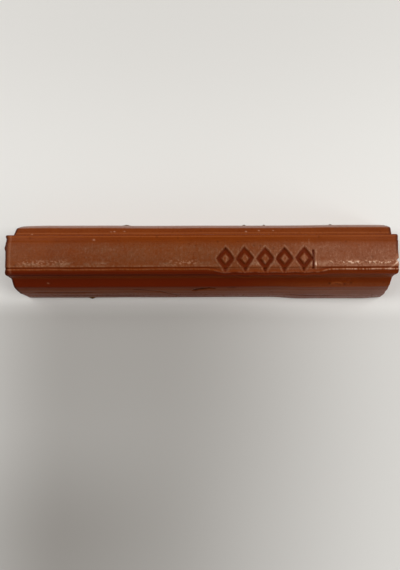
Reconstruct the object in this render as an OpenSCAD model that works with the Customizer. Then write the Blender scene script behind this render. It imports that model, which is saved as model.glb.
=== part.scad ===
// Furniture repair wax stick: one solid casting with a raised rail along its top.
// X runs along the stick, Y across it and Z up. The origin is the middle of the flat base.

/* [Stick] */
// Length from one cut end to the other
stick_length = 110; // [60:1:160]
// Height from the flat base to the land on top of the rail
stick_height = 15; // [13:0.5:20]
// Width across the flat base, before its two long edges are rounded
base_width = 22.7; // [21:0.1:28]
// Rounding of the two long edges of the base
base_edge_round = 0.4; // [0.1:0.1:0.8]

/* [Side walls and shoulders] */
// Width across the side walls at the height where their curve would come to a point
knee_width = 21; // [19:0.1:22.5]
// Height of that point above the base
knee_height = 4.6; // [3:0.1:6]
// Radius of the long curve of a side wall, which leans in more and more towards the top
wall_round = 30; // [5:1:40]
// Width across the outer edges of the two sloping shoulders
shoulder_width = 17.2; // [14.4:0.2:18.8]
// How far a shoulder drops from the foot of the rail to its own outer edge
shoulder_drop = 1.9; // [0.9:0.1:2.5]
// Rounding of a shoulder's outer edge
shoulder_edge_round = 0.8; // [0.1:0.1:1.6]

/* [Rail] */
// Width of the rail across its outer edges
rail_width = 10.5; // [9.5:0.1:11]
// Height of the rail from its foot to the land
rail_height = 4.2; // [2.4:0.2:4.8]
// Slope of the rail's walls from upright, which lets the casting leave its mould
mould_draft = 13; // [3:1:18]
// Rounding of the rail's outer edges
rail_edge_round = 0.5; // [0.1:0.1:0.9]
// Fillet where the rail's wall meets the shoulder
rail_foot_fillet = 0.5; // [0.1:0.1:1]

/* [Land] */
// Width of the flat land in the middle of the rail's top
land_width = 7.2; // [6:0.1:8]
// How far the land stands above the rim on each side of it
land_rise = 0.3; // [0.1:0.05:0.6]
// Width of the short slope from the land down to a rim
land_slope_width = 0.3; // [0.1:0.05:0.5]
// How far a rim falls from its inner edge to the rail's outer edge
rim_fall = 0.2; // [0.05:0.05:0.4]
// Rounding of the edges beside the land
land_edge_round = 0.2; // [0.05:0.05:0.5]

/* [Stamped marks] */
// Number of plain lozenges stamped in a row into the land
mark_count = 5; // [1:1:5]
// Distance between the middles of two neighbouring lozenges
mark_pitch = 5.5; // [5.3:0.1:6.5]
// Length of a lozenge along the stick
mark_width = 5; // [4:0.1:5.2]
// Length of a lozenge across the stick
mark_height = 6.4; // [5:0.1:7]
// Width of the stamped line that draws a lozenge
mark_stroke = 1.1; // [0.6:0.1:1.3]
// Depth of the stamped line below the land
mark_depth = 0.8; // [0.4:0.1:1.2]
// How far the row's last lozenge ends from the right-hand end of the stick
mark_end_gap = 23.9; // [4:0.1:26]
// How far the row lies from the middle of the land, towards the near edge
mark_side_shift = 1.4; // [0:0.1:1.5]

/* [Hidden] */
// The share of a short edge that the roundings at its two ends may take between them
round_fit_share = 0.96;
// How far a cutting shape runs past the face that it opens
overrun = 1;
$fn = 96;

rail_foot_width = rail_width + 2 * rail_height * tan(mould_draft);
rail_foot_height = stick_height - rail_height;
shoulder_edge_height = rail_foot_height - shoulder_drop;
rim_inner_height = stick_height - land_rise;
rim_inner_width = land_width + 2 * land_slope_width;
rim_outer_height = rim_inner_height - rim_fall;

// One half of the cross-section from the base up to the land, as corners: [across, up, rounding]
half_outline = [
    [base_width / 2, 0, base_edge_round],
    [knee_width / 2, knee_height, wall_round],
    [shoulder_width / 2, shoulder_edge_height, shoulder_edge_round],
    [rail_foot_width / 2, rail_foot_height, rail_foot_fillet],
    [rail_width / 2, rim_outer_height, rail_edge_round],
    [rim_inner_width / 2, rim_inner_height, land_edge_round],
    [land_width / 2, stick_height, land_edge_round],
];

// The other half runs back down, which closes the outline anticlockwise
outline = concat(half_outline, [
    for (i = [len(half_outline) - 1:-1:0])
        [-half_outline[i].x, half_outline[i].y, half_outline[i].z]
]);

function corner(i) = outline[(i + len(outline)) % len(outline)];

function place(i) = [corner(i).x, corner(i).y];

// The direction from corner i towards corner j, one unit long
function heading(i, j) = (place(j) - place(i)) / norm(place(j) - place(i));

function half_angle(i) = acos(heading(i, i - 1) * heading(i, i + 1)) / 2;

// How far from corner i its full rounding would begin
function wanted_reach(i) = corner(i).z / tan(half_angle(i));

// The share of its wanted reach that corner i gets on the edge it has in common with corner j
function fit(i, j) =
    round_fit_share * norm(place(j) - place(i)) / (wanted_reach(i) + wanted_reach(j));

function reach(i) = wanted_reach(i) * min(1, fit(i, i - 1), fit(i, i + 1));

function round_start(i) = place(i) + reach(i) * heading(i, i - 1);

function round_end(i) = place(i) + reach(i) * heading(i, i + 1);

function round_radius(i) = reach(i) * tan(half_angle(i));

function round_centre(i) =
    let (inward = heading(i, i - 1) + heading(i, i + 1))
    place(i) + inward / norm(inward) * round_radius(i) / sin(half_angle(i));

// The middle of the straight line between the two ends of a corner's arc
function chord_middle(i) = (round_start(i) + round_end(i)) / 2;

function is_outer(i) = cross(heading(i, i + 1), heading(i, i - 1)) > 0;

// An outer corner is cut off straight here, and its arc is added after
function straight_points(i) = is_outer(i) ? [round_start(i), round_end(i)] : [place(i)];

module round_disc(i) {
    translate(round_centre(i)) circle(round_radius(i));
}

// The tip of an outer corner. It reaches as far into the section as it stands out, so that they join.
module outer_round(i) {
    intersection() {
        polygon([round_start(i), place(i), round_end(i), 2 * chord_middle(i) - place(i)]);
        round_disc(i);
    }
}

// The filling of an inner corner, which also reaches into the section
module inner_fillet(i) {
    difference() {
        polygon([round_end(i), 2 * place(i) - chord_middle(i), round_start(i)]);
        round_disc(i);
    }
}

module cross_section() {
    corners = [0:len(outline) - 1];
    polygon([for (i = corners) each straight_points(i)]);
    for (i = corners)
        if (is_outer(i)) outer_round(i); else inner_fillet(i);
}

module bar() {
    rotate([90, 0, 90])
        translate([0, 0, -stick_length / 2])
            linear_extrude(stick_length)
                cross_section();
}

module lozenge(width, height) {
    polygon([[width / 2, 0], [0, height / 2], [-width / 2, 0], [0, -height / 2]]);
}

// The stamped line round one lozenge, with an island of the land left inside it
module stamped_line() {
    side = norm([mark_width, mark_height]) / 2;
    // A line of even width takes this share off the lozenge's two lengths
    line_share = 4 * mark_stroke * side / (mark_width * mark_height);
    linear_extrude(mark_depth + overrun)
        difference() {
            lozenge(mark_width, mark_height);
            lozenge(mark_width * (1 - line_share), mark_height * (1 - line_share));
        }
}

module stamped_row() {
    last_middle = stick_length / 2 - mark_end_gap - mark_width / 2;
    for (i = [0:mark_count - 1])
        translate([last_middle - i * mark_pitch, -mark_side_shift, stick_height - mark_depth])
            stamped_line();
}

module wax_stick() {
    color("#8a4520")
        difference() {
            bar();
            stamped_row();
        }
}

wax_stick();
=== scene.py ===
# %% [markdown]
# # A furniture repair wax stick
# A repair stick is one casting of coloured wax. It has a flat base, bulged side walls, two sloping
# shoulders and a raised rail, and a row of marks is stamped into the land on top of the rail. The packed
# model holds that shape at its real size. This lesson adds what a mould, a stamp and handling leave on
# wax: uneven rims, burrs, flow lines, bloom and a soft sheen. It also paints light and shade into the
# wax's colour: shade in hollows, creases and on the near side, and highlights, glints and reflections.
# The first step loads the packed model.

# %% Load the packed model
import math

import bpy
import numpy as np
from mathutils import Matrix, Vector, noise


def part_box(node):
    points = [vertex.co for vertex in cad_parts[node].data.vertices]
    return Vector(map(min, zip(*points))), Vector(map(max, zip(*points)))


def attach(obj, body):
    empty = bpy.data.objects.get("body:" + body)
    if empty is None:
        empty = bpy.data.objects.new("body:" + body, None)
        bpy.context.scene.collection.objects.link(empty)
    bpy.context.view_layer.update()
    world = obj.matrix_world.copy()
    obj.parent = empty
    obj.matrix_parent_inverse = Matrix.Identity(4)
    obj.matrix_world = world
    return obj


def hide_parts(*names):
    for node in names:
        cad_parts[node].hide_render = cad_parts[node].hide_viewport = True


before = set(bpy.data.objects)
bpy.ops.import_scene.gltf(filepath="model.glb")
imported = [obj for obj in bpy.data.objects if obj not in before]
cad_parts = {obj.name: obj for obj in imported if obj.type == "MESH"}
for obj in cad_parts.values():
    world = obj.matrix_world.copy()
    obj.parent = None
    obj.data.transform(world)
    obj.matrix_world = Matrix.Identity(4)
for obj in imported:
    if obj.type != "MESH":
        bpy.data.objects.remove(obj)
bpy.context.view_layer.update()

MM = 0.001
low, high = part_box("wax_stick")
STICK_LENGTH = (high[0] - low[0]) / MM
STICK_HEIGHT = (high[2] - low[2]) / MM
print(f"stick: {STICK_LENGTH:.1f} mm long, {STICK_HEIGHT:.1f} mm high")

# %% [markdown]
# ## The camera
# The photograph looks almost straight down from close by, so the stick shows strong perspective: its
# square ends look notched, because the rail is nearer to the lens than the base. A camera that is placed
# by its real distance, and not by a long lens from far away, gives the same notches. Blender's camera
# looks along its own -Z, so a tilt of zero looks straight down.

# %% Camera
LENS = 25.26  # mm, for Blender's 36 mm sensor along the picture's long side
CAMERA_PLACE = Vector((-0.56, -17.9, 125.56)) * MM
CAMERA_TILT = math.radians(4.755)
CAMERA_ROLL = math.radians(-0.2)

lens = bpy.data.cameras.new("photo_lens")
lens.lens = LENS
lens.clip_start = 1 * MM
camera = bpy.data.objects.new("photo_camera", lens)
bpy.context.scene.collection.objects.link(camera)
camera.matrix_world = (
    Matrix.Translation(CAMERA_PLACE)
    @ Matrix.Rotation(CAMERA_TILT, 4, "X")
    @ Matrix.Rotation(CAMERA_ROLL, 4, "Z")
)
bpy.context.scene.camera = camera
bpy.context.scene.view_settings.view_transform = "Standard"  # colours leave the camera as they are
print(f"camera {CAMERA_PLACE.z / MM:.0f} mm above the table")

# %% [markdown]
# ## Node maths as plain expressions
# A material is easier to read as a formula than as a list of links. The class below wraps one socket, and
# its operators add Math nodes, so `1 - mask * 0.5` builds two nodes. Every other node comes from one
# method, which takes the node's type, its settings, and a value or a link for each socket that is used.

# %% A small wrapper for sockets
class Wire:
    """One socket of a node tree. Operators on it add Math nodes."""

    def __init__(self, tree, socket):
        self.tree = tree
        self.socket = socket

    @classmethod
    def from_node(cls, tree, kind, settings=None, sockets=None, output=0):
        """Adds a node, sets it up, fills its sockets by name or number, and gives one output back."""
        node = tree.nodes.new(kind)
        for name, setting in (settings or {}).items():
            setattr(node, name, setting)
        for key, value in (sockets or {}).items():
            if isinstance(value, cls):
                value.feed(node, key)
            else:
                node.inputs[key].default_value = value
        return cls(tree, node.outputs[output])

    def feed(self, node, key):
        """Links this value to a socket of a node."""
        self.tree.links.new(self.socket, node.inputs[key])

    def math(self, operation, first, second):
        return Wire.from_node(self.tree, "ShaderNodeMath", {"operation": operation}, {0: first, 1: second})

    def __add__(self, other):
        return self.math("ADD", self, other)

    __radd__ = __add__

    def __sub__(self, other):
        return self.math("SUBTRACT", self, other)

    def __rsub__(self, other):
        return self.math("SUBTRACT", other, self)

    def __mul__(self, other):
        return self.math("MULTIPLY", self, other)

    __rmul__ = __mul__

    def clamped(self):
        """The same value, kept between 0 and 1."""
        return self.math("MINIMUM", self.math("MAXIMUM", self, 0.0), 1.0)

    def ramp(self, start, end):
        """0 up to start, 1 from end on, and a smooth rise between them."""
        sockets = {"Value": self, "From Min": start, "From Max": end}
        return Wire.from_node(
            self.tree, "ShaderNodeMapRange", {"interpolation_type": "SMOOTHSTEP"}, sockets
        )


print(f"Wire: {Wire.__doc__}")

# %% [markdown]
# ## Colours and materials
# A Math node would turn a colour grey, so colours go through Mix nodes. Each layer of a finish is one such
# mix: a mask says how much of the next colour covers the colours under it.

# %% Mixing colours
def mix_colours(share, first, second):
    """Mixes two colours by a Wire. Each colour is a Wire or (red, green, blue)."""
    colours = [colour if isinstance(colour, Wire) else (*colour, 1) for colour in (first, second)]
    # Sockets go by number here, because a Mix node has several that are named A and B
    sockets = {0: share, 6: colours[0], 7: colours[1]}
    return Wire.from_node(share.tree, "ShaderNodeMix", {"data_type": "RGBA"}, sockets, output=2)


def new_material(name):
    """A new material with its node tree and its Principled shader."""
    material = bpy.data.materials.new(name)
    material.use_nodes = True
    print(f"new material: {name}")
    return material, material.node_tree, material.node_tree.nodes["Principled BSDF"]


# %% [markdown] ## The table The stick lies on a pale table.

# %% Table top
FLOOR_SIZE = 3.0  # m
half = FLOOR_SIZE / 2
floor_mesh = bpy.data.meshes.new("table_top")
floor_mesh.from_pydata(
    [(-half, -half, 0), (half, -half, 0), (half, half, 0), (-half, half, 0)], [], [(0, 1, 2, 3)]
)
floor = bpy.data.objects.new("table_top", floor_mesh)
bpy.context.scene.collection.objects.link(floor)
print(f"table {FLOOR_SIZE} m wide")

# %% [markdown]
# ## The table's finish
# The table is matt and almost white, with wide soft shades round the stick. Each shade is a product of
# smooth ramps along and across the table: some where it sets in, and some where it has faded out again.
# Object coordinates keep the shades in their places when the view turns.

# %% Shades on the table
TABLE_COLOUR = (0.8, 0.785, 0.75)
SHADE_COLOUR = (0.045, 0.025, 0.01)
TABLE_ROUGHNESS = 0.6
LEFT_TONE, FRONT_TONE, CORNER_TONE, FAR_TONE = 0.39, 0.2, 0.17, 0.12
LATE_START = 1.4 * MM  # how much further out the shades in front begin at the right


def over(axis, start, end):
    """0 before start and 1 after end, which are places along an axis of the table in millimetres."""
    return axis.ramp(start * MM, end * MM)


material, tree, shader = new_material("pale_table")
table_place = Wire.from_node(tree, "ShaderNodeTexCoord", output="Object")
table_x = Wire.from_node(tree, "ShaderNodeSeparateXYZ", sockets={0: table_place}, output="X")
table_y = Wire.from_node(tree, "ShaderNodeSeparateXYZ", sockets={0: table_place}, output="Y")
shade_y = table_y + over(table_x, 0, 40) * LATE_START
near_fade = over(table_y, -260, -90)
left_shade = over(shade_y, -10, -14.5) * over(table_x, 70, -15) * near_fade * over(table_x, -90, -40)
front_shade = over(shade_y, -11.5, -18) * over(table_y, -150, -15) * near_fade
corner_shade = over(table_y, -48, -86) * over(table_x, 20, -48) * near_fade
far_shade = over(table_y, 15, 90) * over(table_y, 260, 90)
tone = left_shade * LEFT_TONE + front_shade * FRONT_TONE + corner_shade * CORNER_TONE + far_shade * FAR_TONE
mix_colours(tone, TABLE_COLOUR, SHADE_COLOUR).feed(shader, "Base Color")
shader.inputs["Roughness"].default_value = TABLE_ROUGHNESS
print(f"table finish: {len(tree.nodes)} nodes")

# %% [markdown]
# ## The far table
# Lamps close to a small object leave the far parts of a table dark, and stronger lamps would wash out the
# wax. So the plane fades into an even pale backdrop there. The Light Path node lets the camera see it,
# straight or mirrored in a surface, while it does not light the stick.

# %% Pale backdrop
PALE_BACKDROP = (0.74, 0.73, 0.70, 1)
FADE_START, FADE_END = 0.12, 0.5  # m from the stick


def seen_rays(tree):
    """1 for rays that show a picture: from the camera, off a mirror or through something clear."""
    kinds = ("Is Camera Ray", "Is Glossy Ray", "Is Transmission Ray")
    camera_ray, mirrored, refracted = (
        Wire.from_node(tree, "ShaderNodeLightPath", output=kind) for kind in kinds
    )
    return (camera_ray + mirrored + refracted).clamped()


from_middle = Wire.from_node(
    tree, "ShaderNodeVectorMath", {"operation": "LENGTH"}, {0: table_place}, output="Value"
)
backdrop = Wire.from_node(
    tree, "ShaderNodeEmission", sockets={"Color": PALE_BACKDROP, "Strength": 1.0}
)
faded_share = from_middle.ramp(FADE_START, FADE_END) * seen_rays(tree)
sockets = {0: faded_share, 1: Wire(tree, shader.outputs[0]), 2: backdrop}
faded = Wire.from_node(tree, "ShaderNodeMixShader", sockets=sockets)
faded.feed(tree.nodes["Material Output"], "Surface")
floor_mesh.materials.append(material)
print(f"the table fades out between {FADE_START} m and {FADE_END} m")

# %% [markdown]
# ## The room
# The room lights the stick only a little, and is seen as the same pale backdrop. One background could not
# be both, so a Mix Shader picks one of two by the kind of ray.

# %% World
ROOM_COLOUR = (1.0, 0.985, 0.96, 1)
ROOM_STRENGTH = 0.12
world = bpy.data.worlds.new("dim_room")
world.use_nodes = True
tree = world.node_tree
dim = tree.nodes["Background"]
dim.inputs["Color"].default_value = ROOM_COLOUR
dim.inputs["Strength"].default_value = ROOM_STRENGTH
pale = Wire.from_node(
    tree, "ShaderNodeBackground", sockets={"Color": PALE_BACKDROP, "Strength": 1.0}
)
sockets = {0: seen_rays(tree), 1: Wire(tree, dim.outputs[0]), 2: pale}
room = Wire.from_node(tree, "ShaderNodeMixShader", sockets=sockets)
room.feed(tree.nodes["World Output"], "Surface")
bpy.context.scene.world = world
print(f"room light: {ROOM_STRENGTH}")

# %% [markdown]
# ## Lamps
# The stick is the same section all along, so its faces only mirror what lies in front of it and behind
# it. Two soft boxes to its left and right therefore light the wax well and leave its colour clean, while
# a lamp straight behind it would veil each sloping face in white. The right-hand box is the stronger one,
# and a small one fills in the near side.

# %% Soft boxes
def soft_box(name, place, size, power):
    """A square lamp that looks at the stick. Place and size are in metres, power in watts."""
    lamp = bpy.data.lights.new(name, "AREA")
    lamp.size = size
    lamp.energy = power
    lamp_object = bpy.data.objects.new(name, lamp)
    bpy.context.scene.collection.objects.link(lamp_object)
    lamp_object.location = place
    lamp_object.rotation_euler = (-Vector(place)).to_track_quat("-Z", "Y").to_euler()
    print(f"{name}: {power} W from {Vector(place).length:.2f} m")


soft_box("right_light", (0.42, 0.12, 0.46), 0.5, 2.62)
soft_box("left_light", (-0.42, 0.18, 0.46), 0.45, 2.5)
soft_box("near_light", (0.36, -0.15, 0.14), 0.12, 0.27)

# %% [markdown]
# ## The cross-section
# The stick is one section drawn along its length, as a mould would form it. The section is a chain of
# corners, each with its own rounding, and is taken from the same sizes as the packed model, all in
# millimetres. One half is enough, since the other mirrors it.

# %% Sizes of the section
BASE_WIDTH = 22.7
KNEE_WIDTH = 21.0
KNEE_HEIGHT = 4.6
SHOULDER_WIDTH = 17.2
SHOULDER_DROP = 1.9
RAIL_WIDTH = 10.5
RAIL_HEIGHT = 4.2
MOULD_DRAFT = math.radians(13)
LAND_WIDTH = 7.2
LAND_RISE = 0.3
LAND_SLOPE_WIDTH = 0.3
RIM_FALL = 0.2

RAIL_FOOT_HEIGHT = STICK_HEIGHT - RAIL_HEIGHT
RAIL_FOOT_WIDTH = RAIL_WIDTH + 2 * RAIL_HEIGHT * math.tan(MOULD_DRAFT)
SHOULDER_HEIGHT = RAIL_FOOT_HEIGHT - SHOULDER_DROP
RIM_HEIGHT = STICK_HEIGHT - LAND_RISE
# From the base up to the land, as corners: across, up, rounding
HALF_OUTLINE = [
    (BASE_WIDTH / 2, 0.0, 0.4),
    (KNEE_WIDTH / 2, KNEE_HEIGHT, 30.0),
    (SHOULDER_WIDTH / 2, SHOULDER_HEIGHT, 0.8),
    (RAIL_FOOT_WIDTH / 2, RAIL_FOOT_HEIGHT, 0.5),
    (RAIL_WIDTH / 2, RIM_HEIGHT - RIM_FALL, 0.5),
    (LAND_WIDTH / 2 + LAND_SLOPE_WIDTH, RIM_HEIGHT, 0.2),
    (LAND_WIDTH / 2, STICK_HEIGHT, 0.2),
]
print(f"section: {2 * len(HALF_OUTLINE)} corners")

# %% [markdown]
# ## Rounded corners
# A rounding is an arc that touches the straight edges on both sides of its corner. Blender's bevel could
# round them too, but a `Corner` gives the exact points, and it can shrink with the whole section, which
# rounds the ends later.

# %% A rounded corner
SMALLEST_ROUND = 0.03


class Corner:
    """A rounded corner of the outline, between the corners before and after it."""

    def __init__(self, before, here, after):
        self.place = np.array(here[:2])
        back = np.array(before[:2]) - self.place
        on = np.array(after[:2]) - self.place
        self.back_length = np.linalg.norm(back)
        self.on_length = np.linalg.norm(on)
        self.back = back / self.back_length
        self.on = on / self.on_length
        self.half_angle = math.acos(self.back @ self.on) / 2
        self.outer = self.on[0] * self.back[1] - self.on[1] * self.back[0] > 0
        self.wanted_reach = here[2] / math.tan(self.half_angle)
        self.reach = self.wanted_reach

    def arc(self, inset, steps):
        """Points of the arc when the whole outline has shrunk by inset."""
        inward = (self.back + self.on) / np.linalg.norm(self.back + self.on)
        side = 1 if self.outer else -1
        tip = self.place + inward * side * inset / math.sin(self.half_angle)
        radius = max(self.reach * math.tan(self.half_angle) - side * inset, SMALLEST_ROUND)
        centre = tip + inward * radius / math.sin(self.half_angle)
        first = tip + self.back * radius / math.tan(self.half_angle) - centre
        last = tip + self.on * radius / math.tan(self.half_angle) - centre
        turn = math.pi - 2 * self.half_angle
        share = np.linspace(0, 1, steps + 1)[:, None]
        return centre + (np.sin((1 - share) * turn) * first + np.sin(share * turn) * last) / math.sin(turn)


print(f"a square corner rounded to 2 mm reaches {Corner((0, 5), (0, 0, 2), (5, 0)).reach:.1f} mm")

# %% [markdown]
# ## Fitting the roundings
# Two roundings on a short edge could overlap. Each corner therefore gets a share of the edges beside it,
# and a rounding that wants more is made smaller, just as in the packed model.

# %% Fit the corners
# The share of a short edge that the roundings at its two ends may take between them
FIT_SHARE = 0.96


def make_corners():
    """The fitted corners of the right-hand half."""
    mirrored = [(-across, up, rounding) for across, up, rounding in reversed(HALF_OUTLINE)]
    outline = HALF_OUTLINE + mirrored
    count = len(outline)
    corners = [Corner(outline[i - 1], outline[i], outline[(i + 1) % count]) for i in range(count)]
    for i, corner in enumerate(corners):
        ahead = corners[(i + 1) % count]
        behind = corners[i - 1]
        fit_on = FIT_SHARE * corner.on_length / (corner.wanted_reach + ahead.wanted_reach)
        fit_back = FIT_SHARE * corner.back_length / (corner.wanted_reach + behind.wanted_reach)
        corner.reach = corner.wanted_reach * min(1, fit_on, fit_back)
    return corners[: len(HALF_OUTLINE)]


CORNERS = make_corners()
print(f"side wall rounded to {CORNERS[1].reach * math.tan(CORNERS[1].half_angle):.1f} mm")

# %% [markdown]
# ## Points round the section
# The surface needs points close together where detail will be pressed into it, and few elsewhere. So each
# arc and each straight edge has its own number of steps. The base and the land get the same number, which
# lets a plain grid close each end of the bar.

# %% Ring of points
ARC_STEPS = [4, 36, 6, 5, 6, 4, 4]
EDGE_STEPS = [3, 3, 14, 14, 9, 3]
CROSS_STEPS = 54


def right_side(inset):
    """The right-hand side of the section, from the base line up to the land line."""
    arcs = [corner.arc(inset, steps) for corner, steps in zip(CORNERS, ARC_STEPS)]
    points = [arcs[0]]
    for arc, following, steps in zip(arcs, arcs[1:], EDGE_STEPS):
        share = np.linspace(0, 1, steps + 1)[1:-1, None]
        points += [arc[-1] + (following[0] - arc[-1]) * share, following]
    return np.vstack(points)


def ring(inset=0.0):
    """The closed section: right side up, land, left side down, base."""
    right = right_side(inset)
    left = right * (-1, 1)
    share = np.linspace(0, 1, CROSS_STEPS + 1)[1:-1, None]
    land = right[-1] + (left[-1] - right[-1]) * share
    base = left[0] + (right[0] - left[0]) * share
    return np.vstack([right, land, left[::-1], base])


RING_SIZE = len(ring())
print(f"ring: {RING_SIZE} points, {len(right_side(0))} on each side")

# %% [markdown]
# ## Stations along the stick
# The ring is repeated at stations along the stick. They lie closest where the marks are stamped, and the
# last few at each end shrink, which rounds the cut edges a little, as a knife and fingers leave them.

# %% Stations
END_ROUND = 0.3
END_ROUND_STEPS = 4
# Where each stretch ends, and the distance between its stations
STRETCHES = [(-53.2, 0.13), (3.5, 0.27), (33.0, 0.15), (53.2, 0.2), (STICK_LENGTH / 2 - END_ROUND, 0.13)]


def stations():
    """Places along the stick: every cross-section's x and how far it is shrunk."""
    start = -STICK_LENGTH / 2 + END_ROUND
    middle = [start]
    for end, spacing in STRETCHES:
        count = round((end - start) / spacing)
        middle += list(start + (end - start) * np.arange(1, count + 1) / count)
        start = end
    turns = [math.pi / 2 * k / END_ROUND_STEPS for k in range(1, END_ROUND_STEPS + 1)]
    right = [(start + END_ROUND * math.sin(t), END_ROUND * (1 - math.cos(t))) for t in turns]
    left = [(-x, inset) for x, inset in reversed(right)]
    return left + [(x, 0.0) for x in middle] + right


STATIONS = stations()
print(f"{len(STATIONS)} stations")

# %% [markdown]
# ## The ends
# The two ends are flat cuts. One large face would close an end, but nothing could be pressed into it. So
# each end is a grid of points whose rim is the last ring. The function below numbers the grid's points.

# %% Grid of an end face
def end_grid(first, total):
    """Vertex numbers of an end's grid. Its rim is the ring that starts at first, the rest follow total."""
    side = len(right_side(0))
    grid = np.zeros((side, CROSS_STEPS + 1), int)
    grid[:, -1] = first + np.arange(side)
    grid[-1, 1:-1] = (first + side + np.arange(CROSS_STEPS - 1))[::-1]
    grid[:, 0] = first + side + CROSS_STEPS - 1 + np.arange(side)[::-1]
    grid[0, 1:-1] = first + 2 * side + CROSS_STEPS - 1 + np.arange(CROSS_STEPS - 1)
    inner = grid[1:-1, 1:-1]
    inner[:] = total + np.arange(inner.size).reshape(inner.shape)
    return grid


print(f"each end has a grid of {end_grid(0, RING_SIZE).size} points")

# %% [markdown]
# ## The bar
# Neighbouring rings are joined with quads, and the two grids close the ends. Everything stays in
# millimetres and in numpy arrays until the end, because the next steps move every point several times.

# %% Sweep the section
def sweep():
    """Vertices and quads of the whole bar, both ends closed with a grid."""
    rings = {inset: ring(inset) for _, inset in STATIONS}
    vertices = np.vstack([
        np.column_stack([np.full(RING_SIZE, x), rings[inset]]) for x, inset in STATIONS
    ])
    here = np.arange(RING_SIZE)
    after = np.roll(here, -1)
    step = np.column_stack([here, after, after + RING_SIZE, here + RING_SIZE])
    quads = [step + i * RING_SIZE for i in range(len(STATIONS) - 1)]
    parts = [vertices]
    total = len(vertices)
    for first, flip in ((0, False), ((len(STATIONS) - 1) * RING_SIZE, True)):
        grid = end_grid(first, total)
        total += grid[1:-1, 1:-1].size
        share = np.linspace(0, 1, CROSS_STEPS + 1)[None, 1:-1, None]
        from_left = vertices[grid[1:-1, 0]][:, None]
        from_right = vertices[grid[1:-1, -1]][:, None]
        parts.append((from_left + (from_right - from_left) * share).reshape(-1, 3))
        cells = np.stack([grid[:-1, :-1], grid[:-1, 1:], grid[1:, 1:], grid[1:, :-1]], -1).reshape(-1, 4)
        quads.append(cells[:, ::-1] if flip else cells)
    return np.vstack(parts), np.vstack(quads)


points, quads = sweep()
print(f"{len(points)} vertices, {len(quads)} quads")

# %% [markdown]
# ## Smooth steps
# Each mark of making or use belongs to a part of the stick and fades out round it. Two helpers do that for
# all points at once: a smooth step from 0 to 1, and a stretch that fades at both ends. A hard border would
# show as a line in the wax.

# %% Step and stretch
def smooth_step(value, start, end):
    """0 up to start, 1 from end on, and a smooth rise between them."""
    share = np.clip((value - start) / (end - start), 0, 1)
    return share * share * (3 - 2 * share)


def stretch(value, start, end, fade):
    """1 from start to end, and a smooth fall to 0 over the fade on both sides."""
    return smooth_step(value, start - fade, start) * (1 - smooth_step(value, end, end + fade))


print(f"a smooth step is at {smooth_step(0.25, 0, 1):.2f} after a quarter of the way")

# %% [markdown]
# ## Regions of the surface
# The way a point faces and its height tell which face of the stick it is on. Each region is a number from
# 0 to 1 for every point, so that one face blends into the next. Sets of vertices picked by hand would be
# lost whenever a size changes. All moves are gathered in two arrays: `lift` goes outwards from the
# surface, and `shift` goes along the axes.

# %% Regions
def vertex_normals(points, quads):
    """Mean of the face normals round each vertex."""
    a, b, c, d = (points[quads[:, k]] for k in range(4))
    faces = np.cross(c - a, d - b)
    normals = np.zeros_like(points)
    for k in range(4):
        np.add.at(normals, quads[:, k], faces)
    return normals / np.linalg.norm(normals, axis=1)[:, None]


normals = vertex_normals(points, quads)
along, across, up = points.T
nearness = -across  # grows towards the near side
facing_along, facing_across, facing_up = normals.T
on_end = smooth_step(np.abs(facing_along), 0.7, 0.95)
on_base = smooth_step(-facing_up, 0.7, 0.95)
on_rail_top = smooth_step(facing_up, 0.5, 0.85) * smooth_step(up, 13.9, 14.2)
on_shoulder = smooth_step(facing_up, 0.5, 0.7) * stretch(up, 8.7, 10.9, 0.3) * (1 - on_end)
below_shoulder = (1 - smooth_step(up, 8.6, 9.3)) * (1 - on_end)
on_near_wall = smooth_step(-facing_across, 0.75, 0.9) * below_shoulder
on_far_wall = smooth_step(facing_across, 0.75, 0.9) * below_shoulder
lift = np.zeros(len(points))  # mm outwards
shift = np.zeros_like(points)  # mm along x, y and z
print(f"{100 * (on_rail_top > 0.5).mean():.0f}% of the points are on top of the rail")

# %% [markdown]
# ## Shrinkage and waviness
# Wax shrinks as it sets, so no face stays truly flat. The walls wander by a few hundredths of a
# millimetre, the near wall swells towards the right-hand end and the far one in two places, the land is
# crowned a little, and the base, which cooled last in the open mould, sinks in its middle. Smooth noise
# does the wandering, since it has no edges and no pattern that repeats.

# %% Uneven casting
WAVE, RIPPLE = 0.07, 0.025
NEAR_SWELL = 0.55
FAR_WALL_GROWTH, FAR_SWELL_LEFT, FAR_SWELL_RIGHT = 0.07, 0.15, 0.1
LAND_CROWN = 0.12
BASE_SINK, SINK_WAVE = 0.15, 0.05
SINK_HALF_WIDTH, SINK_HALF_LENGTH = 9.5, 53


def soft_noise(size, seed, octaves=1):
    """Smooth noise between about -1 and 1. Its features have the given size along x, y and z, in mm."""
    scaled = points / np.broadcast_to(size, 3) + np.array([17.3, 5.1, 9.7]) * seed
    total = np.zeros(len(points))
    for k in range(octaves):
        total += np.array([noise.noise(p) for p in (scaled * 2**k).tolist()]) / 2**k
    return total


wander = soft_noise((14, 9, 9), 1) * WAVE + soft_noise((5, 2.5, 3), 2) * RIPPLE
lift += (1 - on_end) * (1 - on_base) * wander
lift += on_near_wall * stretch(along, 31, 49, 10) * NEAR_SWELL * (1 - up / 12)
far_swell = FAR_SWELL_LEFT * stretch(along, -47, -31, 12) + FAR_SWELL_RIGHT * stretch(along, 38, 50, 12)
lift += on_far_wall * (FAR_WALL_GROWTH + far_swell)
shift[:, 2] -= on_rail_top * LAND_CROWN * np.minimum(across / (LAND_WIDTH / 2), 1) ** 2
sunk = np.clip(1 - (across / SINK_HALF_WIDTH) ** 2, 0, 1) * np.clip(1 - (along / SINK_HALF_LENGTH) ** 6, 0, 1)
shift[:, 2] += on_base * sunk * (BASE_SINK + soft_noise((7, 4, 4), 3) * SINK_WAVE)
print(f"walls wander {np.ptp(lift):.2f} mm")

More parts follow.
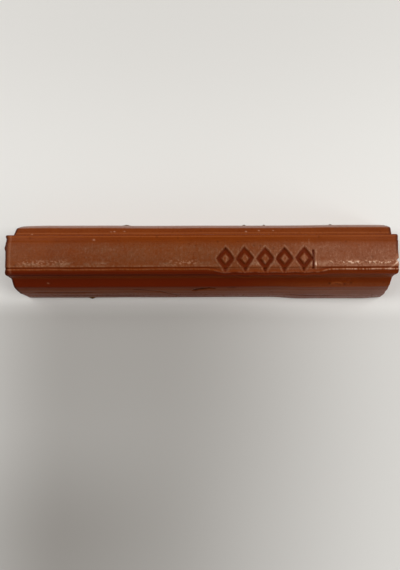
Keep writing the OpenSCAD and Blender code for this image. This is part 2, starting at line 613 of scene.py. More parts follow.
# %% [markdown]
# ## The far rim
# The two rims beside the land are not alike. The far one has melted softly into the land, and ends in a
# thin ridge. It could be another section, but pulling the moulded shape most of the way to a smooth fall
# keeps the same points. Both edges of the rail have also spread outwards a little.

# %% Far rim
MELTED_FALL = 0.5
MELTED_SHARE = 0.85  # how much of the melted shape replaces the moulded one
FAR_SPREAD, NEAR_SPREAD = 0.306, 0.18
FAR_RIDGE_HEIGHT = 0.12


def bump(value, middle, width):
    """1 in the middle, and a soft fall to 0 on both sides."""
    return np.exp(-(((value - middle) / width) ** 2))


melted_height = STICK_HEIGHT - MELTED_FALL * smooth_step(across, 2.7, 5.4)
shift[:, 2] += on_rail_top * smooth_step(across, 2.7, 3.3) * (melted_height - up) * MELTED_SHARE
spread = np.where(across > 0, FAR_SPREAD, -NEAR_SPREAD)
shift[:, 1] += spread * smooth_step(np.abs(across), 3.9, 4.8) * smooth_step(up, 12, 14)
far_ridge = on_rail_top * bump(across, 4.8, 0.13)
shift[:, 2] += far_ridge * FAR_RIDGE_HEIGHT
print(f"far rim fell by {MELTED_FALL} mm")

# %% [markdown]
# ## The near rim
# The near rim keeps a thin bead where wax was squeezed out of the mould's joint, with a crease on both
# sides of it. Beyond the bead the rim is worn down towards the edge of the rail. A separate tube would lie
# on the wax like a wire, so the bead is a ridge in the skin itself, and noise moves it and changes its
# height along the stick.

# %% Near rim
BEAD_PLACE, BEAD_HEIGHT, BEAD_WIDTH = -4.22, 0.17, 0.12
BEAD_WANDER, BEAD_UNEVENNESS = 0.1, 0.7
CREASE_DEPTH, OUTER_CREASE_DEPTH = 0.12, 0.05
RIM_WEAR, RIM_WAVE = 0.5, 0.06
RIM_PUSH = 0.42  # how far the stamp pushed the near rim out
pushed = stretch(along, 6.0, 31.5, 5)  # the stretch that the stamp pushed
bead_place = BEAD_PLACE - RIM_PUSH * pushed + soft_noise((6, 50, 50), 4) * BEAD_WANDER
bead = on_rail_top * bump(across, bead_place, BEAD_WIDTH)
shift[:, 2] += bead * BEAD_HEIGHT * (1 + BEAD_UNEVENNESS * soft_noise((1.6, 50, 50), 5, 2))
crease = on_rail_top * bump(across, bead_place + 0.42, 0.16) * (1 - 0.6 * pushed)
outer_crease = on_rail_top * bump(across, bead_place - 0.3, 0.12)
shift[:, 2] -= crease * CREASE_DEPTH + outer_crease * OUTER_CREASE_DEPTH
worn_rim = smooth_step(nearness, 4.3, 5.4) * smooth_step(up, 12.6, 14.2)
shift[:, 2] -= worn_rim * (RIM_WEAR + RIM_WAVE * soft_noise((3, 50, 50), 6))
print(f"bead {BEAD_HEIGHT} mm high at {BEAD_PLACE} mm")

# %% [markdown]
# ## The shape of a mark
# The marks are five plain lozenges, and each is drawn as a line of even width. A drawn outline could be
# projected onto the land, but a formula does it in one line: the two distances from the middle, raised to
# a power and added. It gives every point a number that is 0 in the middle and 1 on the edge, and a power
# a little above 1 rounds the corners as a worn stamp does.

# %% Sizes of the marks
MARK_COUNT, MARK_PITCH = 5, 5.5
MARK_WIDTH, MARK_HEIGHT = 5.0, 6.4
MARK_STROKE, MARK_DEPTH = 1.1, 0.5
MARK_END_GAP, MARK_SIDE_SHIFT = 23.9, 1.4
CORNER_POWER = 1.12  # 1 is a sharp lozenge and 2 an ellipse
last_middle = STICK_LENGTH / 2 - MARK_END_GAP - MARK_WIDTH / 2
edge_distance = MARK_WIDTH * MARK_HEIGHT / 2 / math.hypot(MARK_WIDTH, MARK_HEIGHT)  # from the middle


def lozenge_size(x, y):
    """0 in the middle of a lozenge and 1 on its outer edge."""
    powers = np.abs(x / (MARK_WIDTH / 2)) ** CORNER_POWER + np.abs(y / (MARK_HEIGHT / 2)) ** CORNER_POWER
    return powers ** (1 / CORNER_POWER)


print(f"the last mark's middle is at {last_middle:.1f} mm, its edges {edge_distance:.2f} mm from there")

# %% [markdown]
# ## The stamped marks
# A hand stamp presses the marks one after the other, so no two are quite alike: each is turned, moved and
# tipped by a little. A Boolean would cut them with sharp edges, but wax flows aside under a stamp. So each
# line becomes a soft groove with a burr on both banks, and the island in the middle swells. A seeded
# random generator stands for the hand, so every run makes the same marks.

# %% Stamped marks
BURR_HEIGHT, ISLAND_SWELL = 0.11, 0.1
hand = np.random.default_rng(4)
dent = np.zeros(len(points))
burr = np.zeros(len(points))
island = np.zeros(len(points))
inside = np.zeros(len(points))
on_stamp = on_rail_top * stretch(along, last_middle - 27, last_middle + 5, 1)
for i in range(MARK_COUNT):
    turn = hand.normal(0, math.radians(1.6))
    x = along - (last_middle - i * MARK_PITCH) - hand.normal(0, 0.06)
    y = across + MARK_SIDE_SHIFT - hand.normal(0, 0.1)
    tip_x, tip_y = hand.normal(0, 0.05, 2)
    x, y = x * math.cos(turn) + y * math.sin(turn), y * math.cos(turn) - x * math.sin(turn)
    size = lozenge_size(x, y)
    from_line = np.abs((size - 1) * edge_distance + MARK_STROKE / 2)
    groove = 1 - smooth_step(from_line, MARK_STROKE * 0.28, MARK_STROKE * 0.6)
    depth = MARK_DEPTH * (1 + tip_x * x + tip_y * y)
    bank = bump(from_line, MARK_STROKE * 0.78, 0.18) * (1 - groove) * (1 - smooth_step(nearness, 4.2, 4.7))
    middle = 1 - smooth_step(size, 0.0, 0.45)
    pressed = BURR_HEIGHT * bank * (1 - dent) - depth * groove * (1 - dent) + ISLAND_SWELL * middle
    shift[:, 2] += on_stamp * pressed
    dent = np.maximum(dent, groove * on_stamp)
    burr = np.maximum(burr, bank * on_stamp)
    island = np.maximum(island, middle * on_stamp * (1.0 if i in (0, MARK_COUNT - 1) else 0.3))
    inside = np.maximum(inside, on_stamp * (1 - smooth_step(size, 0.35, 0.5)))
print(f"{MARK_COUNT} marks, deepest {-shift[:, 2].min():.2f} mm")

# %% [markdown]
# ## Where the stamp pushed the wax
# The row lies close to the near rim, so the rim bulged out beside each mark, in low scallops. They are a
# cosine that repeats with the marks, which keeps them in step with the row.

# %% Pushed rim
scallop = 0.8 + 0.2 * np.cos((along - last_middle) * 2 * math.pi / MARK_PITCH)
rail_edge = smooth_step(nearness, 3.7, 4.6) * smooth_step(up, 11.6, 13.6)
shift[:, 1] -= RIM_PUSH * pushed * scallop * rail_edge
print(f"rim pushed {np.ptp(shift[:, 1]):.2f} mm")

# %% [markdown]
# ## The tool's edge
# Right of the row, the tool's own edge left a short step with a sharp burr, and two fine scratches. A
# scratch could be a curve that is cut into the mesh. It is simpler to measure how far each point lies
# from a bent line, and the same helper later draws laps, a tear and the rim of a knock.

# %% The tool's edge
TOOL_EDGE = 31.55  # mm along the stick
STEP_DEPTH, TOOL_BURR_HEIGHT, SCRATCH_HEIGHT = 0.3, 0.18, 0.07
SCRATCHES = [[(29.9, 2.4), (30.0, 4.1)], [(28.0, 3.1), (29.6, 2.9)]]


def line_distance(x, y, path):
    """Distance to a bent line, and how far along it the nearest place lies, from 0 to 1."""
    best, share_at = np.full(len(x), 1e9), np.zeros(len(x))
    for i, ((x0, y0), (x1, y1)) in enumerate(zip(path, path[1:])):
        dx, dy = x1 - x0, y1 - y0
        share = np.clip(((x - x0) * dx + (y - y0) * dy) / (dx * dx + dy * dy), 0, 1)
        distance = np.hypot(x - x0 - share * dx, y - y0 - share * dy)
        closer = distance < best
        best = np.where(closer, distance, best)
        share_at = np.where(closer, (i + share) / (len(path) - 1), share_at)
    return best, share_at


beside_tool = on_rail_top * stretch(across, -3.9, 0.9, 0.35)
tool_step = beside_tool * stretch(along, TOOL_EDGE - 0.65, TOOL_EDGE - 0.2, 0.15)
shift[:, 2] -= tool_step * STEP_DEPTH
dent = np.maximum(dent, tool_step)
tool_burr = beside_tool * bump(along, TOOL_EDGE + 0.25, 0.2)
shift[:, 2] += tool_burr * TOOL_BURR_HEIGHT
for path in SCRATCHES:
    distance, _ = line_distance(along, across, path)
    shift[:, 2] += on_rail_top * bump(distance, 0.0, 0.13) * SCRATCH_HEIGHT
    burr = np.maximum(burr, on_rail_top * bump(distance, 0.0, 0.15) * 0.7)
burr = np.maximum(burr, tool_burr)
print(f"tool edge at {TOOL_EDGE} mm, {len(SCRATCHES)} scratches")

# %% [markdown]
# ## Wrinkles
# Towards the right-hand end a finger has rolled the warm surface into a string of tiny wrinkles along the
# land's near edge, and it has pressed the corner at that end over. Two more patches to the left are
# rubbed more lightly. Fine noise makes the wrinkles and masks keep them in their patches. They are large
# enough to cast small shadows, so they go into the mesh and not into a bump map.

# %% Wrinkles
WRINKLE_HEIGHT, WRINKLE_RISE = 0.24, 0.03
CHIP_HEIGHT = 0.1
CHIP_LINE = [(52.3, -4.2), (53.6, -3.3), (54.8, -2.2)]  # the corner that was pressed over
rubbed = np.maximum(stretch(along, -9, -3, 3), stretch(along, -50, -39, 3))
wrinkled = stretch(along, 37, 54, 3) * bump(across, -2.45, 0.5) + 0.42 * rubbed * bump(across, -2.4, 0.75)
wrinkled *= on_rail_top
crinkle = soft_noise((0.5, 0.42, 2), 7, 2)
shift[:, 2] += wrinkled * (WRINKLE_HEIGHT * crinkle + WRINKLE_RISE)
chip_distance, _ = line_distance(along, across, CHIP_LINE)
chip = on_rail_top * bump(chip_distance, 0.0, 0.22)
shift[:, 2] += chip * CHIP_HEIGHT
print(f"wrinkles cover {100 * (wrinkled > 0.3).mean():.1f}% of the points")

# %% [markdown]
# ## Crumbs
# A few crumbs of wax have stuck to the shoulders and the far rim, and catch the light as pale specks.
# Loose little balls would only touch the skin, so each crumb is a small hill in it. The seeded generator
# gives each its width and how far it stands out.

# %% Crumbs
CRUMB_HEIGHT = 0.16
# Along and across
CRUMBS = [(-49.5, 6.6), (-30.3, 4.1), (-26.6, 7.4), (-25.6, 7.5), (-22.7, 7.6), (13.0, 7.4), (16.8, 7.7),
          (21.0, 7.7), (-44.7, -7.6)]
crumb = np.zeros(len(points))
for x, y in CRUMBS:
    width = hand.uniform(0.11, 0.2)
    spot = bump(np.hypot((along - x) / 1.4, across - y), 0.0, width) * (facing_up > 0.4)
    crumb = np.maximum(crumb, spot * hand.uniform(0.4, 1.0))
lift += crumb * CRUMB_HEIGHT
print(f"{len(CRUMBS)} crumbs")

# %% [markdown]
# ## Pits
# Small air bubbles break the surface of any casting. Each is a small hollow round a point of the mesh
# that the generator picks. So there are more of them where the points lie closer, round the marks.

# %% Pits
PIT_COUNT = 110
PIT_DEPTH = 0.07
pit = np.zeros(len(points))
for start in hand.integers(0, len(STATIONS) * RING_SIZE, PIT_COUNT):
    centre = points[start]
    width = hand.uniform(0.12, 0.3)
    close = np.flatnonzero(np.abs(along - centre[0]) < 1)
    distance = np.linalg.norm(points[close] - centre, axis=1)
    pit[close] = np.maximum(pit[close], bump(distance, 0.0, width))
lift -= pit * PIT_DEPTH
print(f"{PIT_COUNT} pits")

# %% [markdown]
# ## Knocks on the near shoulder
# Soft wax takes a mark from anything hard that it is stored with. The near shoulder has a patch of knocks
# near the right-hand end: a dented stretch, a raised lip round the largest knock, and three small dimples.
# They are placed one by one, because even noise over the whole shoulder would look like a texture.

# %% Knocks
DENTED_DEPTH, LIP_HEIGHT, KNOCK_DEPTH = 0.15, 0.08, 0.1
LIP_LINE = [(37.5, -8.3), (37.8, -7.8), (39.2, -7.6), (40.8, -7.8)]
KNOCKS = [(37.1, -7.9), (43.4, -7.8), (41.6, -8.1)]
on_near_shoulder = on_shoulder * (across < 0)
knocked = on_near_shoulder * stretch(along, 37.5, 43.3, 0.6)
lift += knocked * soft_noise((1.1, 0.8, 0.8), 8) * DENTED_DEPTH
distance, _ = line_distance(along, across, LIP_LINE)
raised_lip = on_near_shoulder * bump(distance, 0.0, 0.15)
lift += raised_lip * LIP_HEIGHT
knock = np.zeros(len(points))
for x, y in KNOCKS:
    spot = on_near_shoulder * bump(np.hypot(along - x, (across - y) * 1.5), 0.0, 0.35)
    knock = np.maximum(knock, spot)
lift -= knock * KNOCK_DEPTH
print(f"{len(KNOCKS)} knocks")

# %% [markdown]
# ## Flow lines and laps
# Wax that touches a cool mould freezes in thin folds. They show as faint level lines in both side walls,
# and as a few slanting laps in the near one, where two flows met. The level lines are a sine of the height
# that noise bends. A lap follows a line of a few places, and its width wanders so that it doesn't look
# drawn.

# %% Flow lines and laps
FLOW_LINE_HEIGHT, LAP_DEPTH, LAP_WIDTH = 0.02, 0.1, 0.19
FLOW_LINE_TURN = 3.1  # radians for each millimetre of height
# Each lap is a line of places: along and up
LAPS = [[(-21.0, 7.4), (-18.0, 7.1), (-12.4, 6.0), (-8.5, 3.5), (-6.0, 2.2)],
        [(-52, 5.6), (-40, 5.3), (-31, 5.6)], [(-48, 2.6), (-30, 2.9), (-15, 2.2)],
        [(24, 4.2), (34, 3.2), (41, 3.4)], [(7.2, 8.2), (10.0, 8.3)]]
level = np.sin(up * FLOW_LINE_TURN + soft_noise((30, 4, 1.5), 9) * 3)
lift += (on_near_wall + on_far_wall) * level * FLOW_LINE_HEIGHT
lap_width = LAP_WIDTH * (1 + 0.5 * soft_noise((1.5, 1, 1), 16))
lap = np.zeros(len(points))
for path in LAPS:
    distance, share = line_distance(along, up, path)
    lap = np.maximum(lap, on_near_wall * bump(distance, 0.0, lap_width) * stretch(share, 0.15, 0.85, 0.15))
lift -= lap * LAP_DEPTH
print(f"{len(LAPS)} laps")

# %% [markdown]
# ## A tear
# In one place the near wall is torn, and looks cracked. The tear follows a bent line as a lap does. But it
# has steep sides and a flat floor, so its edge is a smooth step and not a soft bump, and it is widest
# before its middle.

# %% Tear
TEAR_DEPTH = 0.35
TEAR_END_WIDTH, TEAR_SWELL = 0.26, 0.34
TEAR = [(-2.7, 6.4), (-1.2, 7.0), (2.0, 7.7), (3.8, 7.6)]
distance, share = line_distance(along, up, TEAR)
tear_width = TEAR_END_WIDTH + TEAR_SWELL * np.sin(share**0.6 * math.pi)
tear_width *= 1 + 0.5 * soft_noise((0.8, 0.8, 0.8), 15)
tear = (1 - smooth_step(distance, tear_width * 0.4, tear_width * 1.2)) * (across < 0) * (1 - on_end)
lift -= tear * TEAR_DEPTH
print(f"tear {TEAR[-1][0] - TEAR[0][0]:.1f} mm long")

# %% [markdown]
# ## Ends and corners
# The two ends were cut with a warm knife, which leaves faint level ridges. Noise that is long across the
# stick and short in height gives them. The lower corners were rubbed round in use. A bevel would round
# them all alike, so each corner has a radius of its own here.

# %% Knife ridges and worn corners
RIDGE, END_WAVE, END_FALL = 0.05, 0.04, 0.03
# The radius of each lower corner: end (-1 is the left one) and side (-1 is the near one)
CORNER_WEAR = {(-1, -1): 1.6, (1, -1): 0.6, (-1, 1): 0.5, (1, 1): 0.3}
knife = soft_noise((50, 6, 0.5), 10, 2) * RIDGE + soft_noise((50, 2.5, 2.5), 11) * END_WAVE
lift += on_end * (knife - END_FALL)
low_down = 1 - smooth_step(up, 1.0, 5.0)
for (end, side), radius in CORNER_WEAR.items():
    from_end = np.clip(STICK_LENGTH / 2 - along * end, 0, radius)
    worn = radius - np.sqrt(radius**2 - (radius - from_end) ** 2)
    share = np.clip(across * side / (BASE_WIDTH / 2), 0, 1)
    shift[:, 1] -= side * worn * low_down * share
print(f"corners worn by up to {max(CORNER_WEAR.values())} mm")

# %% [markdown]
# ## The leaning end
# The right-hand cut wandered, so the foot of that end leans out, and its near side bulges a little. A
# plain tilt would move the rail as well, so the lean fades out with height, higher up on the far side.

# %% Leaning end
LEAN = 1.2  # how far the foot of the right-hand end leans out
WALL_BULGE = 0.32
FAR_CORNER_LEAN = 0.25
at_right = smooth_step(along, 50, 55)
far_part = smooth_step(across, -2, 4)
lean_top = 7 + 5.5 * far_part
lean = 1 - smooth_step(up, lean_top - 5, lean_top)
shift[:, 0] += LEAN * lean * (0.9 + 0.1 * far_part) * smooth_step(along, 45, 55)
shift[:, 0] += FAR_CORNER_LEAN * smooth_step(across, 3, 5) * smooth_step(up, 11, 14) * at_right
shift[:, 0] += WALL_BULGE * bump(up, 6.6, 1.0) * smooth_step(nearness, 7, 9) * at_right
print(f"right-hand end leans out {LEAN} mm")

# %% [markdown]
# ## Edges of the cuts
# The knife drags wax along, so the rim of a cut is never straight. At the left-hand end the corners of
# the rail stand out, and at both ends single burrs stand out or are broken away along the edge of the
# land. Noise alone would make both rims alike, so it only adds what is ragged between the burrs.

# %% Burrs on the ends
NEAR_RAIL_CORNER, FAR_RAIL_CORNER, NEAR_LOWER_CORNER = 0.35, 0.3, 0.15
RAGGED = 0.12
# End, place across, width, and how far it stands out
KNIFE_BURRS = [(-1, 1.9, 0.7, 0.28), (-1, -5.0, 0.5, 0.25), (1, -4.9, 0.9, 0.22), (1, -1.8, 0.35, -0.5)]
at_left = smooth_step(-along, 52, 55)
shift[:, 0] -= NEAR_RAIL_CORNER * at_left * smooth_step(nearness, 4.0, 5.0) * stretch(up, 11.2, 13.6, 0.8)
shift[:, 0] -= FAR_RAIL_CORNER * at_left * smooth_step(across, 4.2, 4.9) * smooth_step(up, 12.0, 13.4)
shift[:, 0] -= NEAR_LOWER_CORNER * at_left * smooth_step(nearness, 4.8, 5.6)
for end, place, width, size in KNIFE_BURRS:
    at_edge = smooth_step(along * end, STICK_LENGTH / 2 - 1.2, STICK_LENGTH / 2) * smooth_step(up, 13.2, 14.6)
    shift[:, 0] += end * size * bump(across, place, width) * at_edge
at_cuts = np.sign(along) * smooth_step(np.abs(along), 53.5, 55)
shift[:, 0] += at_cuts * soft_noise((50, 2.2, 2.2), 12) * RAGGED
print(f"{len(KNIFE_BURRS)} burrs on the cuts")

# %% [markdown]
# ## Dust at the base
# A wax stick picks up dust and crumbs where it lies. A few dark flecks stick out along the two lower
# edges. They are pulled out of the skin like the crumbs, and a mask keeps where they are, because the
# material has to give them another colour than wax.

# %% Flecks
FLECK_REACH = 0.4
# Place along, side (1 is the far one) and width
FLECKS = [(-23.8, 1, 1.2), (13.5, 1, 0.6), (19.8, 1, 0.35), (40.9, 1, 0.5), (-34.3, -1, 0.7)]
fleck = np.zeros(len(points))
for x, side, width in FLECKS:
    spot = bump(along, x, width) * smooth_step(across * side, 10.2, 10.7)
    shift[:, 1] += side * spot * (1 - smooth_step(up, 0.3, 0.8)) * FLECK_REACH
    fleck = np.maximum(fleck, spot * (1 - smooth_step(up, 0.9, 1.8)))
print(f"{len(FLECKS)} flecks")

# %% [markdown]
# ## The finished surface
# All moves are added up and the base is kept on the table. Only now does Blender get a mesh, because numpy
# moves all the points at once. The new piece takes the place of the packed stick and rides on the same
# body.

# %% Wax mesh
def make_mesh(name, vertices, quads):
    """A smooth-shaded piece from vertices in millimetres."""
    mesh = bpy.data.meshes.new(name)
    mesh.from_pydata((vertices * MM).tolist(), [], quads.tolist())
    mesh.polygons.foreach_set("use_smooth", [True] * len(mesh.polygons))
    mesh.update()
    piece = bpy.data.objects.new(name, mesh)
    bpy.context.scene.collection.objects.link(piece)
    return piece


worked = points + normals * lift[:, None] + shift
worked[:, 2] = np.maximum(worked[:, 2], 0)
cast_wax = make_mesh("cast_wax", worked, quads)
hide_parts("wax_stick")
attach(cast_wax, "root")
print(f"points moved by up to {np.linalg.norm(worked - points, axis=1).max():.2f} mm")

# %% [markdown]
# ## Haze and sheen on the land
# Haze is the dull film where the land was handled, and the same mask paints the land's sheen, a painted
# reflection that is stronger to the right. It is thin at its far edge and thick along its near edge and to
# the right. Patches and fine strokes break it up, and it is missing in the stamped grooves. A painted image
# would need the stick unfolded first. Instead the mesh keeps a mask, one number for each vertex, which the
# material reads. All further masks are kept in the same way.

# %% Haze and sheen on the land
# The haze mask also paints sheen on the land: a painted reflection, stronger to the right
LAND_HAZE_AND_SHEEN, HAZE_SHEEN_BREAKUP, SHEEN_AT_RIGHT = 0.36, 0.14, 0.08
patchy = soft_noise((7, 2.2, 2), 13, 2)
strokes = soft_noise((0.5, 1.6, 2), 14, 2)
towards_right = smooth_step(along, 15, 42)
haze_and_sheen = on_rail_top * smooth_step(nearness, -4.6, -1.5) * (1 - smooth_step(nearness - 0.6 * pushed, 3.3, 3.9))
haze_and_sheen *= LAND_HAZE_AND_SHEEN + HAZE_SHEEN_BREAKUP * (patchy + strokes) + SHEEN_AT_RIGHT * towards_right
haze_and_sheen *= 1 - 0.4 * smooth_step(nearness, 0.5, 3.0) * (1 - towards_right)
haze_and_sheen *= 1 - 0.32 * (1 - smooth_step(along, -48, -18))
# Milky patches lie along the near edge, and a painted highlight runs along it as a thin line
milky = on_rail_top * bump(across, -2.75, 0.6) * smooth_step(-patchy - 0.5 * strokes, -0.2, 0.35)
edge_highlight = on_rail_top * bump(across, -3.35, 0.16) * (1 - pushed)
haze_and_sheen += milky * 0.45 + edge_highlight * (0.2 + 0.3 * strokes)
haze_and_sheen = np.clip(haze_and_sheen, 0, 1) * (1 - dent) * (1 - 0.6 * inside) + 0.18 * burr + 0.08 * island
print(f"haze covers {100 * (haze_and_sheen > 0.3).mean():.0f}% of the points")

# %% [markdown]
# ## Haze and reflection on the near side
# A pale film is also painted on the near wall, as a painted reflection of the table seen edge on, and on
# the rail's wall to the right, as painted light that is stronger there. Both go into the same mask. Then
# the first masks go into the mesh, with those of the stamped grooves and the flecks.

# %% Haze and reflection on the near side
NEAR_WALL_REFLECTION, RAIL_WALL_LIGHT = 0.1, 0.08


def store(piece, name, values):
    """Keeps one number per vertex with the mesh, for the material to read."""
    attribute = piece.data.attributes.new(name, "FLOAT", "POINT")
    attribute.data.foreach_set("value", np.clip(values, 0, 1).astype(np.float32))
    print(f"stored {name}")


right_half = smooth_step(along, 5, 45)
# Painted reflection on the near wall, and painted light on the rail's wall to the right
haze_and_sheen += NEAR_WALL_REFLECTION * on_near_wall * stretch(up, 5.5, 8.2, 1.2)
rail_wall = stretch(up, 10.9, 13.4, 0.4) + stretch(up, 8.9, 9.4, 0.3)
haze_and_sheen += RAIL_WALL_LIGHT * right_half * smooth_step(nearness, 4.8, 5.2) * rail_wall
store(cast_wax, "haze_and_sheen", haze_and_sheen)
store(cast_wax, "dent", dent)
store(cast_wax, "fleck", fleck)

# %% [markdown]
# ## Polish
# The side walls took the polish of the mould, which shows most where they are seen edge on. It is missing
# on flecks and in the tear, and weak on the laps. A polish of one strength would look like varnish, so it
# has a mask too.

# %% Polish
FAR_POLISH, NEAR_POLISH, NEAR_POLISH_RIGHT = 0.07, 0.09, 0.16
polish = FAR_POLISH * on_far_wall
polish += on_near_wall * (NEAR_POLISH + NEAR_POLISH_RIGHT * smooth_step(along, 0, 40))
polish *= 0.65 + 0.35 * smooth_step(along, -52, -30)
polish *= (1 - fleck) * (1 - tear) * (1 - 0.7 * lap)
store(cast_wax, "polish", polish)

# %% [markdown]
# ## Highlights on thin ridges
# Thin ridges look bright orange in the light: the line at the foot of the rail on the far side, the far
# rim's ridge, the lip of the largest knock, and the bead a little. A mask paints them lighter, as a painted
# highlight. Light that scatters under the surface could be rendered, but it would blur the fine marks as
# well.

# %% Painted ridge highlights
foot_line = on_shoulder * bump(across, 6.95, 0.15)
bright = 1.35 * foot_line + 1.15 * far_ridge + 0.1 * bead + 0.7 * raised_lip
store(cast_wax, "bright", bright * (1.0 + 0.3 * strokes))
print(f"bright ridges on {100 * (bright > 0.3).mean():.1f}% of the points")

# %% [markdown]
# ## Bloom and glints
# Bloom is the pale dust of wax that was rubbed dry. It lies on the milky patches, the pressed corner and
# the pale edge of the right-hand cut. The same mask paints glints and highlights on the crests of the
# wrinkles, on crumbs and burrs, on the bead, most on its right-hand half, and along the land's near edge,
# and a painted reflection on the far wall. The same arrays that shaped those places make the mask, so it
# lies exactly on them.

# %% Bloom and glints
# Painted glints on wrinkle crests and crumbs, and a painted reflection on the far wall
bloom_and_glints = wrinkled * smooth_step(crinkle, 0.0, 0.35) + 0.9 * crumb + 0.14 * on_far_wall * (1 - fleck)
bloom_and_glints += tool_burr * (0.1 + 0.9 * bump(across, -2.8, 0.6))
bloom_and_glints += bead * smooth_step(strokes, -0.45, 0.4) * (0.16 + 0.78 * smooth_step(along, 30, 42))
bloom_and_glints += (0.2 * island + 0.15 * burr + 0.2 * edge_highlight) * smooth_step(strokes, -0.4, 0.4)
bloom_and_glints += 0.25 * milky * smooth_step(strokes, -0.3, 0.5) * (1 - dent) + 0.55 * chip
bloom_and_glints += 0.14 * on_rail_top * bump(along, -53.7, 0.25)
pale_end = bump(along, 54.5, 0.5) * on_rail_top * stretch(across, -2.6, -1.0, 1.2)
bloom_and_glints += pale_end * (0.15 + 0.3 * smooth_step(nearness, 0.5, 2.5))
store(cast_wax, "bloom_and_glints", bloom_and_glints)
print(f"bloom on {100 * (bloom_and_glints > 0.3).mean():.1f}% of the points")

# %% [markdown]
# ## Painted shade
# The near side below the rim, the creases beside the bead, and the far edge of the rail are painted a
# deeper, darker colour, as shade. It is weaker on the rail's wall and on the shoulder's edge, and weaker
# towards the right.

# %% Painted shade
# Painted shade on the near side, in the creases and on the rail's far edge
near_side = smooth_step(nearness, 4.3, 4.7) * smooth_step(up, 6.8, 9.0) * (1 - 0.5 * right_half)
near_side *= 1 - 0.7 * stretch(up, 10.9, 12.3, 0.4)
near_side *= 1 - 0.6 * stretch(up, 8.9, 9.6, 0.4) * right_half
far_edge = on_rail_top * bump(across, 5.4, 0.25)
far_edge += 0.9 * smooth_step(across, 5.15, 5.4) * stretch(up, 11.2, 13.6, 0.4)
painted_shade = np.maximum(near_side, crease + outer_crease) + far_edge
store(cast_wax, "painted_shade", painted_shade)
print(f"deep colour on {100 * (painted_shade > 0.5).mean():.0f}% of the points")

# %% [markdown]
# ## Painted dark shade
# The tear, the laps, the knocks, the pits and the tool's step are painted dark, as shade in hollows. The
# cut edges, the rail's near edge and upper wall at the left, and the near half of the land left of the
# marks are painted darker as shade too. All are the same dark brown, so one mask takes the strongest of
# them, and two that cross don't add up to black.

# %% Painted dark shade
cut_edge = smooth_step(np.abs(along), STICK_LENGTH / 2 - 0.85, STICK_LENGTH / 2 - 0.55)
# At the right-hand end the painted shade on the near part of the edge is weaker
cut_edge *= (1 - on_end * 0.5) * (1 - smooth_step(along, 0, 1) * (1 - 0.7 * smooth_step(across, -0.5, 1.5)))
# Painted shade on the rail's near edge, fading out to the right
rail_edge_shade = smooth_step(nearness, 4.85, 5.15) * smooth_step(up, 12.2, 13.6) * (1 - smooth_step(along, 0, 30))
# Painted shade on the near half of the land, left of the marks
near_land_shade = on_rail_top * smooth_step(nearness, -1.0, 2.2) * stretch(along, -40, 6, 9)
dark_shades = [tear * 1.2, lap, knock * 0.9, pit * 0.5, cut_edge, tool_step * 0.3, rail_edge_shade * 0.55, near_land_shade * 0.16]
store(cast_wax, "painted_dark_shade", np.maximum.reduce(dark_shades))
print(f"{len(dark_shades)} kinds of scar")

# %% [markdown]
# ## Masks and grain
# Coloured wax is a dense pigment in a slightly clear binder, so its own colour is deep and warm. The
# masks from the mesh say where the wear lies, and where shade, highlights, glints and reflections are
# painted. But they are only as fine as its points, so procedural noise at the scale of the real grain
# breaks them up. It needs no image and stays sharp from close by.

# %% Masks and grain
material, tree, shader = new_material("reddish_brown_wax")
wax_place = Wire.from_node(tree, "ShaderNodeTexCoord", output="Object")
wax_x = Wire.from_node(tree, "ShaderNodeSeparateXYZ", sockets={0: wax_place}, output="X")
right_share = wax_x.ramp(2 * MM, 42 * MM)


def read_mask(name):
    return Wire.from_node(tree, "ShaderNodeAttribute", {"attribute_name": name}, output="Fac")


def grain(size, detail=2.0, roughness=0.5, stretch_by=(1, 1, 1)):
    """Noise between 0 and 1. Its features are about size millimetres."""
    scale = tuple(1 / (size * MM * s) for s in stretch_by)
    scaled = Wire.from_node(
        tree, "ShaderNodeVectorMath", {"operation": "MULTIPLY"}, {0: wax_place, 1: scale}
    )
    sockets = {"Vector": scaled, "Scale": 1.0, "Detail": detail, "Roughness": roughness}
    return Wire.from_node(tree, "ShaderNodeTexNoise", {"normalize": True}, sockets)


clouds = grain(9.0)
mottle = grain(0.7, 3.0, 0.6)
pigment = grain(0.28, 1.0)
drawn = grain(0.22, 2.0, 0.6, (16, 1, 1))  # fine lines along the stick, drawn by the mould
streaks = grain(0.4, 2.0, 0.6, (1, 1.8, 1))
haze_sheen_mask = (read_mask("haze_and_sheen") * (mottle.ramp(0.3, 0.7) * 0.5 + 0.75)).clamped()
# Painted glints: pale specks in the haze, more of them to the right
glint_speckle = (haze_sheen_mask * streaks.ramp(0.48, 0.76) * (right_share * 0.35 + 0.42)).clamped()
bloom_glint_mask = (read_mask("bloom_and_glints") * (mottle.ramp(0.2, 0.6) * 0.5 + 0.6)).clamped()
painted_shade_mask = read_mask("painted_shade")
print(f"masks and grain: {len(tree.nodes)} nodes")

# %% [markdown]
# ## Layers of colour
# The layers start with the cast wax. Then come painted shade, painted highlights on thin ridges, the haze
# of handling with its painted sheen, painted glints, pigment specks, painted shade in the stamped grooves,
# bloom with painted glints, painted dark shade, and dust. Each line covers what is above it, one Mix node
# each. Separate materials would meet in hard borders, and layers in one material melt into each other as
# they do on the wax.

# %% Colour
CAST_WAX_DARK, CAST_WAX_LIGHT = (0.162, 0.027, 0.0018), (0.206, 0.040, 0.0034)
SHADED_WAX = (0.122, 0.009, 0.0007)
RIDGE_HIGHLIGHT = (0.28, 0.072, 0.018)
HAZE_SHEEN_LEFT, HAZE_SHEEN_RIGHT = (0.18, 0.085, 0.042), (0.29, 0.126, 0.072)
GLINT_SPECKLE = (0.42, 0.20, 0.12)
PIGMENT_SPECK = (0.08, 0.014, 0.003)
GROOVE_SHADE = (0.112, 0.013, 0.0014)
THIN_BLOOM_GLINT, THICK_BLOOM_GLINT = (0.55, 0.29, 0.17), (0.78, 0.52, 0.38)
DARK_SHADE = (0.05, 0.007, 0.001)
DUST = (0.08, 0.05, 0.012)

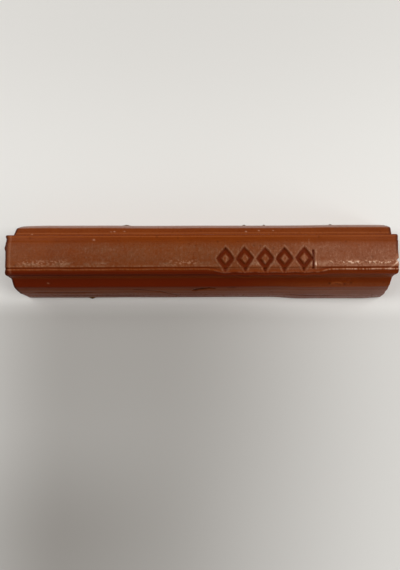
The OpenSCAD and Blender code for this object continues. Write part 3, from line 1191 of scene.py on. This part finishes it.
cast_share = clouds.ramp(0.3, 0.7) * 0.5 + drawn.ramp(0.3, 0.7) * 0.5
colour = mix_colours(cast_share, CAST_WAX_DARK, CAST_WAX_LIGHT)
# Painted shade: a darker wax colour where shade falls
colour = mix_colours(painted_shade_mask * 0.85, colour, SHADED_WAX)
# Painted highlights on the thin ridges
colour = mix_colours(read_mask("bright"), colour, RIDGE_HIGHLIGHT)
# Haze colour painted lighter to the right, as painted light and sheen from the right-hand lamp
colour = mix_colours(haze_sheen_mask, colour, mix_colours(right_share, HAZE_SHEEN_LEFT, HAZE_SHEEN_RIGHT))
# Painted glints
colour = mix_colours(glint_speckle, colour, GLINT_SPECKLE)
colour = mix_colours(pigment.ramp(0.58, 0.72) * 0.4, colour, PIGMENT_SPECK)
# Painted shade in the stamped grooves and the tool's step
colour = mix_colours(read_mask("dent") * 0.9, colour, GROOVE_SHADE)
# Bloom with painted glints; its brightest parts are painted glints
bloom_glint_colour = mix_colours(bloom_glint_mask.ramp(0.5, 1.0), THIN_BLOOM_GLINT, THICK_BLOOM_GLINT)
colour = mix_colours(bloom_glint_mask, colour, bloom_glint_colour)
# Painted dark shade in hollows and on edges
colour = mix_colours(read_mask("painted_dark_shade") * 0.8, colour, DARK_SHADE)
colour = mix_colours(read_mask("fleck") * 0.9, colour, DUST)
colour.feed(shader, "Base Color")
print(f"colour: {len(tree.nodes)} nodes so far")

# %% [markdown]
# ## Sheen and relief
# Wax has a low, soft sheen, duller under haze and where shade is painted. Mottle, pigment and fine
# scratches give it a relief of a few micrometres, less where shade is painted. The mesh would need
# millions of points for that, so a Bump node does it. The polish of the side walls is a clear coat, since
# a coat only shows where a face is seen edge on, as real polish does.

# %% Sheen, relief and coat
MOTTLE_HEIGHT, PIGMENT_HEIGHT, SCRATCH_RELIEF = 0.010, 0.004, 0.004  # mm
COAT_ROUGHNESS = 0.3
WAX_IOR, WAX_SPECULAR = 1.44, 0.05
(0.25 + haze_sheen_mask * 0.2 + mottle * 0.06 + painted_shade_mask * 0.3).feed(shader, "Roughness")

scratch = grain(0.22, 2.0, 0.6, (9, 1, 1)) * 0.5 + grain(0.22, 2.0, 0.6, (1, 7, 1)) * 0.3
height = mottle * MOTTLE_HEIGHT + pigment * PIGMENT_HEIGHT + scratch * SCRATCH_RELIEF
height = height * (1 - painted_shade_mask * 0.75)
sockets = {"Strength": 1.0, "Distance": MM, "Height": height}
Wire.from_node(tree, "ShaderNodeBump", sockets=sockets).feed(shader, "Normal")

(read_mask("polish") * (clouds * 0.6 + 0.7)).feed(shader, "Coat Weight")
shader.inputs["Coat Roughness"].default_value = COAT_ROUGHNESS
shader.inputs["IOR"].default_value = WAX_IOR
shader.inputs["Specular IOR Level"].default_value = WAX_SPECULAR
cast_wax.data.materials.append(material)
print(f"wax material: {len(tree.nodes)} nodes")

# %% [markdown]
